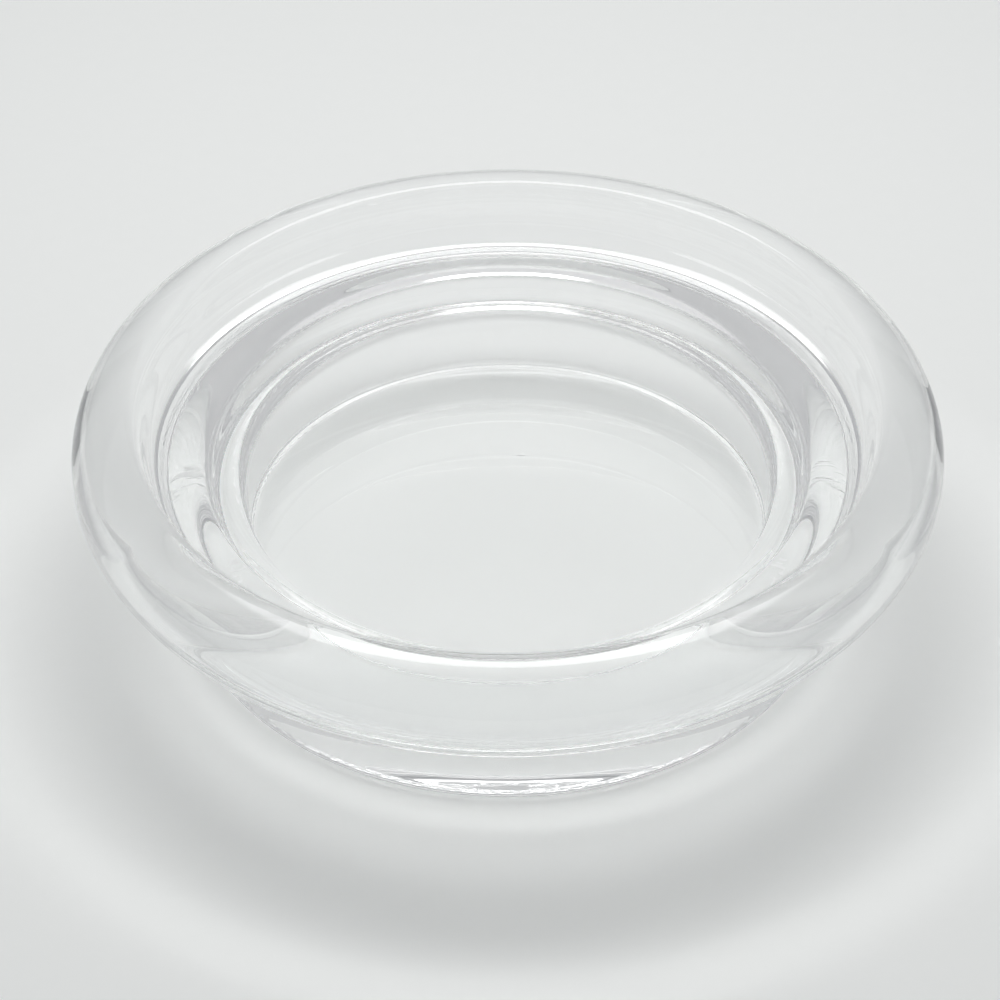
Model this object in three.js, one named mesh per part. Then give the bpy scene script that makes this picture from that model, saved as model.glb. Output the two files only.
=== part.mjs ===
// Watch glass: one solid piece of clear pressed glass.
// A wide rounded rim overhangs a narrower round foot, and a round well with a flat floor
// is pressed into the middle. The shape is a body of revolution about +Z, in millimetres,
// standing on z = 0 with its origin at the centre of the foot.

import * as THREE from 'three';

// Driving dimensions, in millimetres and degrees. Falls are slopes down towards the axis.
const RIM_RADIUS = 33.5;          // widest point of the rim
const BULGE = 4.05;               // radius of the rounded outer edge
const BULGE_HEIGHT = 14.01;       // height of the widest point
const BULGE_FROM = -109.1;        // where the edge's arc starts, on the underside
const BULGE_TO = 92.0;            // where it ends, on the crown

const SHOULDER_RADIUS = 26.80;    // inner side of the rim, part of the way down
const SHOULDER_HEIGHT = 13.40;
const SHOULDER_FALL = 28.0;
const SLOPE_RADIUS = 23.45;       // lower down, above the well's lip
const SLOPE_HEIGHT = 12.33;
const SLOPE_FALL = 25.0;

const MOUTH_RADIUS = 20.38;       // inner edge of the well's lip
const LIP_TOP = 10.75;
const LIP_ROUND = 1.12;
const LIP_FROM = 54.9;            // where the lip's arc starts, on the side of the rim
const WALL_DRAFT = 2.9;           // lean of the well's wall from upright

const FLOOR_HEIGHT = 5.69;
const FLOOR_FILLET = 0.67;

const CONTACT_RADIUS = 23.62;     // outer edge of the flat ring that rests on the table
const CONTACT_WIDTH = 0.8;
const BASE_HOLLOW = 0.101;        // clearance under the middle of the base
const FOOT_RADIUS = 25.44;
const FOOT_EDGE = 0.40;           // height of the rounding below the foot's wall
const FOOT_TOP = 11.72;
const FOOT_LEAN = 5.1;            // lean of the foot's wall outwards from upright
const COVE_PULL = 0.57;           // how long the underside follows the foot's wall
const UNDERSIDE_PULL = 1.10;      // how long it follows the rim's arc

const SEGMENTS = 72;              // facets around the axis

const degrees = (angle) => THREE.MathUtils.degToRad(angle);
const direction = (angle) => new THREE.Vector2(Math.cos(degrees(angle)), Math.sin(degrees(angle)));

// Points of an arc about (r, z), from one angle to another in degrees, both ends included.
function arc(r, z, radius, from, to, steps) {
  const points = [];
  for (let i = 0; i <= steps; i += 1) {
    const out = direction(THREE.MathUtils.lerp(from, to, i / steps)).multiplyScalar(radius);
    points.push(new THREE.Vector2(r, z).add(out));
  }
  return points;
}

// Points after start, up to end, of a cubic with a given direction at each end.
function smooth(start, startAngle, end, endAngle, steps, pullStart = 1, pullEnd = 1) {
  const third = start.distanceTo(end) / 3;
  const leave = direction(startAngle).multiplyScalar(third * pullStart).add(start);
  const reach = direction(endAngle).multiplyScalar(-third * pullEnd).add(end);
  return new THREE.CubicBezierCurve(start, leave, reach, end).getPoints(steps).slice(1);
}

// Base and foot: a very shallow hollow, the flat ring, the rounded bottom edge and the wall.
function foot() {
  const spread = FOOT_RADIUS - CONTACT_RADIUS;
  const wall = Math.tan(degrees(FOOT_LEAN)) * (FOOT_TOP - FOOT_EDGE);
  const edge = [];
  for (let i = 1; i <= 4; i += 1) {
    const turn = direction(90 * i / 4);
    edge.push(new THREE.Vector2(CONTACT_RADIUS + spread * turn.y, FOOT_EDGE * (1 - turn.x)));
  }
  return [
    new THREE.Vector2(0, BASE_HOLLOW),
    new THREE.Vector2((CONTACT_RADIUS - CONTACT_WIDTH) / 2, BASE_HOLLOW * 0.75),
    new THREE.Vector2(CONTACT_RADIUS - CONTACT_WIDTH, 0),
    new THREE.Vector2(CONTACT_RADIUS, 0),
    ...edge,
    new THREE.Vector2(FOOT_RADIUS + wall, FOOT_TOP),
  ];
}

// Rim: underside, rounded outer edge and crown, down to the slope inside the rim. The edge's arc
// is drawn in two halves so that its widest point is one of the points.
function rim(start) {
  const centre = RIM_RADIUS - BULGE;
  const lower = arc(centre, BULGE_HEIGHT, BULGE, BULGE_FROM, 0, 6);
  const upper = arc(centre, BULGE_HEIGHT, BULGE, 0, BULGE_TO, 6);
  const shoulder = new THREE.Vector2(SHOULDER_RADIUS, SHOULDER_HEIGHT);
  const slope = new THREE.Vector2(SLOPE_RADIUS, SLOPE_HEIGHT);
  const rise = 90 - FOOT_LEAN;
  return [
    ...smooth(start, rise, lower[0], BULGE_FROM + 90, 6, COVE_PULL, UNDERSIDE_PULL),
    ...lower.slice(1),
    ...upper.slice(1),
    ...smooth(upper.at(-1), BULGE_TO + 90, shoulder, 180 + SHOULDER_FALL, 4),
    ...smooth(shoulder, 180 + SHOULDER_FALL, slope, 180 + SLOPE_FALL, 4),
  ];
}

// Well: rounded lip, drafted wall, filleted corner and flat floor.
function well(start) {
  const wall = 180 - WALL_DRAFT;
  const lip = arc(MOUTH_RADIUS + LIP_ROUND, LIP_TOP - LIP_ROUND, LIP_ROUND, LIP_FROM, wall, 5);
  const inward = direction(wall);
  const down = direction(wall + 90);
  const cornerHeight = FLOOR_HEIGHT + FLOOR_FILLET;
  const drop = (cornerHeight - lip.at(-1).y - FLOOR_FILLET * inward.y) / down.y;
  const cornerRadius = lip.at(-1).x + drop * down.x + FLOOR_FILLET * inward.x;
  return [
    ...smooth(start, 180 + SLOPE_FALL, lip[0], LIP_FROM + 90, 4),
    ...lip.slice(1),
    ...arc(cornerRadius, cornerHeight, FLOOR_FILLET, wall - 180, -90, 4),
    new THREE.Vector2(0, FLOOR_HEIGHT),
  ];
}

function profile() {
  const points = foot();
  points.push(...rim(points.at(-1)));
  points.push(...well(points.at(-1)));
  return points;
}

// The lathe turns about Y, so the finished solid is stood up along Z.
function watchGlass() {
  const geometry = new THREE.LatheGeometry(profile(), SEGMENTS);
  geometry.rotateX(Math.PI / 2);
  const glass = new THREE.MeshStandardMaterial({ color: 0xeef3f1, roughness: 0.03, metalness: 0 });
  const mesh = new THREE.Mesh(geometry, glass);
  mesh.name = 'watch_glass';
  return mesh;
}

const part = new THREE.Group();
part.add(watchGlass());

export default part;
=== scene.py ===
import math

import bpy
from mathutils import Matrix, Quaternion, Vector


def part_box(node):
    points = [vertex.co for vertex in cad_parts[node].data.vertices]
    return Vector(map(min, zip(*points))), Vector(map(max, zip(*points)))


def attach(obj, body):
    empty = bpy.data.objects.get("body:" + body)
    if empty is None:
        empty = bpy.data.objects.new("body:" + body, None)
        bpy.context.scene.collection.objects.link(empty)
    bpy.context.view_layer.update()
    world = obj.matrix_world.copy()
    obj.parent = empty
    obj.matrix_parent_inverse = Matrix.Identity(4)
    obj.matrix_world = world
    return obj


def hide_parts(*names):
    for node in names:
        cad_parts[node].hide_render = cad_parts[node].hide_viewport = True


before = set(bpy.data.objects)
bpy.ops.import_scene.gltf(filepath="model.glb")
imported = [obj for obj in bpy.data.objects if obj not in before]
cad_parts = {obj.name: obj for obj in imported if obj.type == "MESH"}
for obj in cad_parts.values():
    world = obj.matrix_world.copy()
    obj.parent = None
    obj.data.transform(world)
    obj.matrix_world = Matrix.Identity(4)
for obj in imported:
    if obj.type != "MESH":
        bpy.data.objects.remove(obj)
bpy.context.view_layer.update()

# Watch glass: one piece of clear pressed glass, standing on a pale table in soft light.
# The fine surface is turned about +Z from one smooth outline, inside the CAD node's own box:
# a wide rounded rim, a round well with a flat floor, and a narrower foot.

NODE = "watch_glass"
LOW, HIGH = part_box(NODE)
RIM = (HIGH.x - LOW.x) / 2          # outer radius of the rim, in metres
MM = 0.001
RIM_RADIUS = RIM / MM

# Driving dimensions of the outline, in millimetres and degrees. Falls are slopes down towards
# the axis. The pulls are shares of a cubic's usual reach along its direction at that end.
BULGE = 4.05             # radius of the rounded outer edge
BULGE_HEIGHT = 14.01     # height of the widest point
BULGE_FROM = -109.1      # where the edge's arc starts, on the underside
BULGE_TO = 92.0          # where it ends, on the crown
SHOULDER_RADIUS = 26.80  # inner side of the rim, part of the way down
SHOULDER_HEIGHT = 13.40
SHOULDER_FALL = 28.0
SLOPE_RADIUS = 23.45     # lower down, above the well's lip
SLOPE_HEIGHT = 12.33
SLOPE_FALL = 25.0
LIP_ROUND = 1.12         # radius of the lip round the well's mouth
LIP_TOP = 10.75
MOUTH_RADIUS = 20.38     # inner edge of the well's lip
LIP_FROM = 54.9          # where the lip's arc starts, on the side of the rim
WALL_DRAFT = 2.9         # how far the well's wall leans from upright
FLOOR_HEIGHT = 5.69
FLOOR_FILLET = 0.67
CONTACT_RADIUS = 23.62   # outer edge of the ring that rests on the table
CONTACT_WIDTH = 0.8
BASE_HOLLOW = 0.101      # how far the middle of the base is clear of the table
FOOT_RADIUS = 25.44
FOOT_EDGE = 0.40         # height of the rounding between the base and the foot's wall
FOOT_TOP = 11.72
FOOT_LEAN = 5.1          # how far the foot's wall leans outwards from upright
COVE_PULL = 0.57         # how long the underside keeps the direction of the foot's wall
UNDERSIDE_PULL = 1.10    # how long it keeps the direction of the rim's arc

SEGMENTS = 288           # facets around the axis
CURVE_STEPS = 28         # points along a smooth stretch
EDGE_STEPS = 56          # points round the rim's outer edge
LIP_STEPS = 22
CORNER_STEPS = 14
FLOOR_STEPS = 12
HOLLOW_STEPS = 16


def direction(angle):
    """Unit vector at an angle in degrees from the outward radius."""
    return Vector((math.cos(math.radians(angle)), math.sin(math.radians(angle))))


def arc(radius, height, size, start, end, steps):
    """Points of an arc about (radius, height), both ends included."""
    centre = Vector((radius, height))
    return [centre + size * direction(start + (end - start) * i / steps) for i in range(steps + 1)]


def smooth(start, start_angle, end, end_angle, pull_start=1.0, pull_end=1.0):
    """Points after start, up to end, of a cubic with a given direction at each end."""
    span = (end - start).length
    leave = direction(start_angle) * span * pull_start
    reach = direction(end_angle) * span * pull_end
    points = []
    for i in range(1, CURVE_STEPS + 1):
        t = i / CURVE_STEPS
        blend = 3 * t**2 - 2 * t**3
        points.append(
            (1 - blend) * start + blend * end
            + (t**3 - 2 * t**2 + t) * leave + (t**3 - t**2) * reach
        )
    return points


def base():
    """Underside of the foot: a very shallow hollow inside the ring that touches the table."""
    inner = CONTACT_RADIUS - CONTACT_WIDTH
    hollow = []
    for i in range(HOLLOW_STEPS + 1):
        reach = i / HOLLOW_STEPS
        hollow.append(Vector((inner * reach, BASE_HOLLOW * (1 - reach**2))))
    return hollow + [Vector((CONTACT_RADIUS, 0))]


def foot():
    """Rounded bottom edge, a quarter of an ellipse, and the wall above it."""
    edge = []
    for i in range(1, CORNER_STEPS + 1):
        turn = math.pi / 2 * i / CORNER_STEPS
        out = (FOOT_RADIUS - CONTACT_RADIUS) * math.sin(turn)
        edge.append(Vector((CONTACT_RADIUS + out, FOOT_EDGE * (1 - math.cos(turn)))))
    lean = math.tan(math.radians(FOOT_LEAN)) * (FOOT_TOP - FOOT_EDGE)
    return edge + [Vector((FOOT_RADIUS + lean, FOOT_TOP))]


def rim(start):
    """Underside, rounded outer edge and crown, down to the slope inside the rim."""
    bulge = arc(RIM_RADIUS - BULGE, BULGE_HEIGHT, BULGE, BULGE_FROM, BULGE_TO, EDGE_STEPS)
    shoulder = Vector((SHOULDER_RADIUS, SHOULDER_HEIGHT))
    slope = Vector((SLOPE_RADIUS, SLOPE_HEIGHT))
    under = smooth(start, 90 - FOOT_LEAN, bulge[0], BULGE_FROM + 90, COVE_PULL, UNDERSIDE_PULL)
    crown = smooth(bulge[-1], BULGE_TO + 90, shoulder, 180 + SHOULDER_FALL)
    side = smooth(shoulder, 180 + SHOULDER_FALL, slope, 180 + SLOPE_FALL)
    return under + bulge[1:] + crown + side


def well(start):
    """Rounded lip, drafted wall, filleted corner and floor."""
    wall = 180 - WALL_DRAFT
    lip = arc(MOUTH_RADIUS + LIP_ROUND, LIP_TOP - LIP_ROUND, LIP_ROUND, LIP_FROM, wall, LIP_STEPS)
    inward, down = direction(wall), direction(wall + 90)
    corner_height = FLOOR_HEIGHT + FLOOR_FILLET
    drop = (corner_height - lip[-1].y - FLOOR_FILLET * inward.y) / down.y
    corner_radius = lip[-1].x + drop * down.x + FLOOR_FILLET * inward.x
    corner = arc(corner_radius, corner_height, FLOOR_FILLET, wall - 180, -90, CORNER_STEPS)
    floor = []
    for i in range(1, FLOOR_STEPS + 1):
        floor.append(Vector((corner_radius * (1 - i / FLOOR_STEPS), FLOOR_HEIGHT)))
    return smooth(start, 180 + SLOPE_FALL, lip[0], LIP_FROM + 90) + lip[1:] + corner + floor


def outline():
    """The whole outline, from the axis under the foot round to the axis on the well's floor."""
    points = base() + foot()
    points += rim(points[-1])
    points += well(points[-1])
    return [point * MM for point in points]


def link(thing):
    bpy.context.scene.collection.objects.link(thing)
    return thing


def facings(points):
    """Outward directions at the outline's points: the mean of the stretches, by length."""
    across = []
    for start, end in zip(points, points[1:]):
        across.append(Vector((end.y - start.y, start.x - end.x)))
    inner = [(before + after).normalized() for before, after in zip(across, across[1:])]
    return [Vector((0, -1))] + inner + [Vector((0, 1))]


def spun(values, segments):
    """The inner values of an outline turned about +Z, between its two values on the axis."""
    turns = [2 * math.pi * k / segments for k in range(segments)]
    rings = [
        (value.x * math.cos(turn), value.x * math.sin(turn), value.y)
        for value in values[1:-1] for turn in turns
    ]
    return [(0, 0, values[0].y)] + rings + [(0, 0, values[-1].y)]


def turned(name, points, segments):
    """A closed smooth mesh turned about +Z; the outline starts and ends on the axis."""
    vertices = spun(points, segments)
    top = len(vertices) - 1
    last = top - 1 - segments
    faces = []
    for k in range(segments):
        here, there = 1 + k, 1 + (k + 1) % segments
        faces.append((0, there, here))
        for low in range(0, last, segments):
            high = low + segments
            faces.append((here + low, there + low, there + high, here + high))
        faces.append((here + last, there + last, top))
    mesh = bpy.data.meshes.new(name)
    mesh.from_pydata(vertices, [], faces)
    mesh.polygons.foreach_set("use_smooth", [True] * len(mesh.polygons))
    mesh.update()
    mesh.normals_split_custom_set_from_vertices(spun(facings(points), segments))
    return link(bpy.data.objects.new(name, mesh))


def new_material(name):
    """A material, its node tree and its Principled shader."""
    material = bpy.data.materials.new(name)
    material.use_nodes = True
    return material, material.node_tree, material.node_tree.nodes["Principled BSDF"]


def noise(tree, scale, detail):
    """Noise laid out in the object's own metres."""
    place = tree.nodes.new("ShaderNodeTexCoord")
    texture = tree.nodes.new("ShaderNodeTexNoise")
    texture.inputs["Scale"].default_value = scale
    texture.inputs["Detail"].default_value = detail
    tree.links.new(place.outputs["Object"], texture.inputs["Vector"])
    return texture.outputs["Fac"]


def mapped(tree, value, low, high, start=0.0, end=1.0, soft=False):
    """value, taken from start..end to low..high."""
    span = tree.nodes.new("ShaderNodeMapRange")
    span.interpolation_type = "SMOOTHSTEP" if soft else "LINEAR"
    span.inputs["From Min"].default_value = start
    span.inputs["From Max"].default_value = end
    span.inputs["To Min"].default_value = low
    span.inputs["To Max"].default_value = high
    tree.links.new(value, span.inputs["Value"])
    return span.outputs["Result"]


def maths(tree, operation, first, second):
    """One Math node; second is a value or another node's output."""
    node = tree.nodes.new("ShaderNodeMath")
    node.operation = operation
    tree.links.new(first, node.inputs[0])
    if isinstance(second, (int, float)):
        node.inputs[1].default_value = second
    else:
        tree.links.new(second, node.inputs[1])
    return node.outputs["Value"]


def tinted(tree, value, first, second):
    """A colour between first and second."""
    mix = tree.nodes.new("ShaderNodeMix")
    mix.data_type = "RGBA"
    colours = [socket for socket in mix.inputs if socket.type == "RGBA"]
    colours[0].default_value = (*first, 1)
    colours[1].default_value = (*second, 1)
    tree.links.new(value, mix.inputs["Factor"])
    return next(socket for socket in mix.outputs if socket.type == "RGBA")


def bumped(tree, shader, height, strength, distance):
    bump = tree.nodes.new("ShaderNodeBump")
    bump.inputs["Strength"].default_value = strength
    bump.inputs["Distance"].default_value = distance
    tree.links.new(height, bump.inputs["Height"])
    tree.links.new(bump.outputs["Normal"], shader.inputs["Normal"])


# Marks on the glass, in rim radii: the worn outer edge of the ring that rests on the table, and
# a small sunk dash on the floor of the well.
WEAR_RING = 0.706
WEAR_WIDTH = 0.012
MARK_PLACE = (0.033, 0.344)
MARK_HALF = (0.016, 0.004)

GLASS_INDEX = 1.5
SCUFF_ROUGHNESS = 0.5
WAVE_SHARE = 0.25         # height of the glass's faint waves, as a share of a mark's depth
RELIEF_STRENGTH = 0.3
RELIEF_DEPTH = 0.00006    # in metres


def away_from_axis(tree):
    """Distance from the axis, in rim radii, and the height, in metres."""
    place = tree.nodes.new("ShaderNodeTexCoord")
    apart = tree.nodes.new("ShaderNodeSeparateXYZ")
    tree.links.new(place.outputs["Object"], apart.inputs[0])
    squares = [maths(tree, "POWER", apart.outputs[axis], 2.0) for axis in "XY"]
    reach = maths(tree, "SQRT", maths(tree, "ADD", squares[0], squares[1]), 0.0)
    return apart, maths(tree, "DIVIDE", reach, RIM)


def wear(tree, apart, reach):
    """Scuffed patches along the worn edge: 1 on a scuff, 0 elsewhere."""
    off = maths(tree, "ABSOLUTE", maths(tree, "SUBTRACT", reach, WEAR_RING), 0.0)
    near = mapped(tree, off, 1, 0, WEAR_WIDTH / 2, WEAR_WIDTH)
    low = mapped(tree, apart.outputs["Z"], 1, 0, 0.0001, 0.0004)
    patches = mapped(tree, noise(tree, 1400, 2), 0, 1, 0.45, 0.6)
    return maths(tree, "MULTIPLY", maths(tree, "MULTIPLY", near, low), patches)


def mark(tree, apart):
    """The dash on the floor of the well: 1 in its middle, 0 away from it."""
    parts = []
    for axis, middle, half in zip("XY", MARK_PLACE, MARK_HALF):
        shift = maths(tree, "SUBTRACT", apart.outputs[axis], middle * RIM)
        parts.append(maths(tree, "POWER", maths(tree, "DIVIDE", shift, half * RIM), 2.0))
    return mapped(tree, maths(tree, "ADD", parts[0], parts[1]), 1, 0, soft=True)


def glass_material():
    material, tree, shader = new_material("clear_glass")
    shader.inputs["Transmission Weight"].default_value = 1
    shader.inputs["IOR"].default_value = GLASS_INDEX
    tint = tinted(tree, noise(tree, 60, 2), (0.993, 0.998, 0.997), (0.997, 0.999, 1.0))
    tree.links.new(tint, shader.inputs["Base Color"])
    apart, reach = away_from_axis(tree)
    scuffs = wear(tree, apart, reach)
    polish = mapped(tree, noise(tree, 220, 3), 0.0, 0.01)
    rough = maths(tree, "ADD", polish, maths(tree, "MULTIPLY", scuffs, SCUFF_ROUGHNESS))
    tree.links.new(rough, shader.inputs["Roughness"])
    waves = maths(tree, "MULTIPLY", noise(tree, 45, 1), WAVE_SHARE)
    relief = maths(tree, "SUBTRACT", waves, maths(tree, "ADD", mark(tree, apart), scuffs))
    bumped(tree, shader, relief, RELIEF_STRENGTH, RELIEF_DEPTH)
    return material


# Table, in metres.
TABLE_SIZE = 3.0
TABLE_GAP = 0.00003       # keeps the table's face clear of the foot's
TABLE_ALBEDO = 0.918
TABLE_SHEEN = 0.1


def table_material():
    material, tree, shader = new_material("pale_board")
    shader.inputs["Specular IOR Level"].default_value = TABLE_SHEEN
    low = [TABLE_ALBEDO * share for share in (0.986, 0.997, 0.982)]
    high = [TABLE_ALBEDO * share for share in (1.001, 1.011, 0.997)]
    tree.links.new(tinted(tree, noise(tree, 700, 4), low, high), shader.inputs["Base Color"])
    tree.links.new(mapped(tree, noise(tree, 400, 3), 0.6, 0.75), shader.inputs["Roughness"])
    return material


def dish():
    """The fine glass, which takes the place of the plain CAD node."""
    glass = turned(NODE + "_fine", outline(), SEGMENTS)
    glass.data.materials.append(glass_material())
    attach(glass, "root")
    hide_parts(NODE)


def panel(name, width, depth, height, material):
    """A flat rectangle facing +Z, with its middle at the origin."""
    x, y = width / 2, depth / 2
    mesh = bpy.data.meshes.new(name)
    mesh.from_pydata([(-x, -y, 0), (x, -y, 0), (x, y, 0), (-x, y, 0)], [], [(0, 1, 2, 3)])
    mesh.materials.append(material)
    sheet = link(bpy.data.objects.new(name, mesh))
    sheet.location.z = height
    return sheet


def aim(thing, target, roll=0):
    """Turn thing to face target along its own -Z, rolled about that line in degrees."""
    turn = (Vector(target) - thing.location).to_track_quat("-Z", "Y")
    thing.rotation_mode = "QUATERNION"
    thing.rotation_quaternion = turn @ Quaternion((0, 0, 1), math.radians(roll))


# Camera, in degrees, millimetres of lens and rim radii.
CAMERA_ELEVATION = 41.116
CAMERA_DISTANCE = 8
CAMERA_TARGET = (-0.0193, 0.2767)
CAMERA_ROLL = -0.357
LENS = 120.8


def camera():
    data = bpy.data.cameras.new("camera")
    data.sensor_width = 36
    data.lens = LENS
    data.clip_start = 0.01
    eye = link(bpy.data.objects.new("camera", data))
    lift = math.radians(CAMERA_ELEVATION)
    eye.location = CAMERA_DISTANCE * RIM * Vector((0, -math.cos(lift), math.sin(lift)))
    aim(eye, (CAMERA_TARGET[0] * RIM, CAMERA_TARGET[1] * RIM, 0), CAMERA_ROLL)
    bpy.context.scene.camera = eye


# Sky: its strength and colour at the horizon and near overhead, how far its brightest point
# leans from overhead towards +Y, in degrees, and how it brightens: below 1 is early.
WORLD_LOW = 0.15
WORLD_HIGH = 0.62
WORLD_TILT = -2.4
WORLD_POWER = 0.35
SKY_LOW = (0.95, 0.97, 1.04)
SKY_HIGH = (0.99, 1.0, 1.0)

# Lamps: distance in rim radii, tilts from overhead towards +Y and half widths in degrees. The
# softness is the share of a panel's half width over which its light fades out.
LAMP_DISTANCE = 6.0
EDGE_SOFTNESS = 0.35
KEY_TILT = 20.0
KEY_SIDE = 0.1
KEY_WIDTH = 24.0
KEY_DEPTH = 12.0
KEY_GLOW = 4.0
BACK_TILT = 27.6
BACK_WIDTH = 16.5
BACK_DEPTH = 2.5
BACK_GLOW = 0.5


def surroundings():
    """A sky that is dim at the horizon and brightens towards a point near overhead."""
    world = bpy.data.worlds.new("studio")
    bpy.context.scene.world = world
    world.use_nodes = True
    tree = world.node_tree
    sky = tree.nodes["Background"]
    place = tree.nodes.new("ShaderNodeTexCoord")
    towards = tree.nodes.new("ShaderNodeVectorMath")
    towards.operation = "DOT_PRODUCT"
    tilt = math.radians(WORLD_TILT)
    towards.inputs[1].default_value = (0, math.sin(tilt), math.cos(tilt))
    tree.links.new(place.outputs["Generated"], towards.inputs[0])
    above = maths(tree, "MAXIMUM", towards.outputs["Value"], 0.0)
    share = maths(tree, "POWER", above, WORLD_POWER)
    tree.links.new(mapped(tree, share, WORLD_LOW, WORLD_HIGH), sky.inputs["Strength"])
    tree.links.new(tinted(tree, share, SKY_LOW, SKY_HIGH), sky.inputs["Color"])


def glow_material(name, glow, half_width, half_depth):
    """Even light, added to the sky behind it, that fades out over the panel's edges."""
    material = bpy.data.materials.new(name)
    material.use_nodes = True
    tree = material.node_tree
    tree.nodes.clear()
    output = tree.nodes.new("ShaderNodeOutputMaterial")
    lamp = tree.nodes.new("ShaderNodeEmission")
    clear = tree.nodes.new("ShaderNodeBsdfTransparent")
    sheet = tree.nodes.new("ShaderNodeAddShader")
    tree.links.new(lamp.outputs["Emission"], sheet.inputs[0])
    tree.links.new(clear.outputs["BSDF"], sheet.inputs[1])
    tree.links.new(sheet.outputs["Shader"], output.inputs["Surface"])
    place = tree.nodes.new("ShaderNodeTexCoord")
    apart = tree.nodes.new("ShaderNodeSeparateXYZ")
    tree.links.new(place.outputs["Object"], apart.inputs[0])
    fades = []
    for axis, half in (("X", half_width), ("Y", half_depth)):
        away = maths(tree, "ABSOLUTE", apart.outputs[axis], 0.0)
        fades.append(mapped(tree, away, 1, 0, half * (1 - EDGE_SOFTNESS), half, soft=True))
    both = maths(tree, "MULTIPLY", fades[0], fades[1])
    tree.links.new(maths(tree, "MULTIPLY", both, glow), lamp.inputs["Strength"])
    return material


def softbox(name, tilt, side, width, depth, glow):
    """A glowing panel that faces the origin; the camera doesn't see it directly."""
    reach = LAMP_DISTANCE * RIM
    half_width = reach * math.tan(math.radians(width))
    half_depth = reach * math.tan(math.radians(depth))
    material = glow_material(name, glow, half_width, half_depth)
    box = panel(name, 2 * half_width, 2 * half_depth, 0, material)
    across, back = math.radians(side), math.radians(tilt)
    box.location = reach * Vector(
        (math.sin(across), math.sin(back) * math.cos(across), math.cos(back) * math.cos(across))
    )
    aim(box, (0, 0, 0))
    box.visible_camera = False


def light():
    surroundings()
    softbox("key", KEY_TILT, KEY_SIDE, KEY_WIDTH, KEY_DEPTH, KEY_GLOW)
    softbox("back", BACK_TILT, 0, BACK_WIDTH, BACK_DEPTH, BACK_GLOW)


def quality():
    """Light paths long enough for thick clear glass, and plain display colours."""
    scene = bpy.context.scene
    scene.cycles.max_bounces = 64
    scene.cycles.transmission_bounces = 64
    scene.cycles.glossy_bounces = 32
    scene.cycles.blur_glossy = 0
    scene.cycles.sample_clamp_indirect = 0
    scene.view_settings.view_transform = "Standard"


camera()
dish()
panel("table", TABLE_SIZE, TABLE_SIZE, -TABLE_GAP, table_material())
light()
quality()
